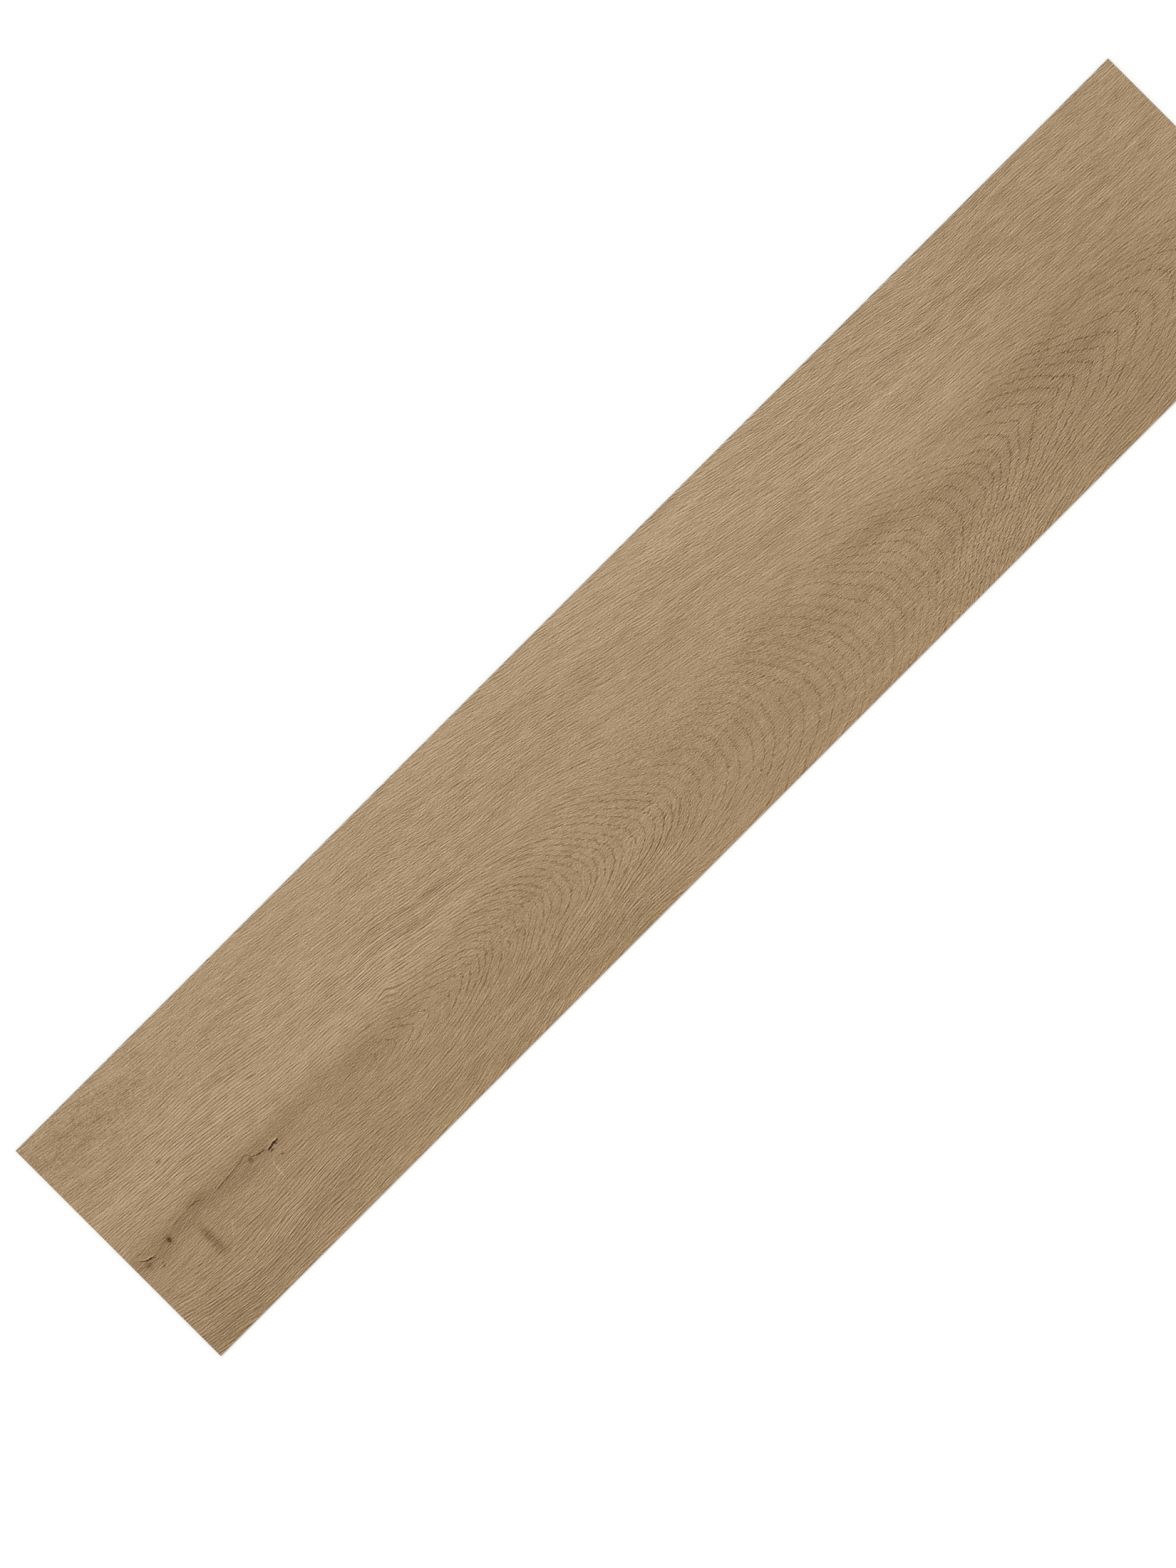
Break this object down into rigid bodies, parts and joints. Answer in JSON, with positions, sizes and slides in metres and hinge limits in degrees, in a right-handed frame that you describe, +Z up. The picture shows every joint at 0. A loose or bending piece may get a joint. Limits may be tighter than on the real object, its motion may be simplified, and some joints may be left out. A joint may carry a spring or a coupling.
{
  "type": "vinyl floor plank",
  "caption": "Plain-edged vinyl floor plank with an embossed oak-look face, finely bevelled round the face and flat on the back, laid edge to edge and glued down.",
  "frame": {"origin": "middle of the plank's flat back, which rests on the floor", "axes": "+X along the plank's length, +Y across its width, +Z up out of the wood-look face"},
  "size_m": [1.2192, 0.2286, 0.0025],
  "materials": {
    "vinyl": "matte"
  },
  "bodies": {
    "root": {"plank": "vinyl"}
  },
  "joints": []
}
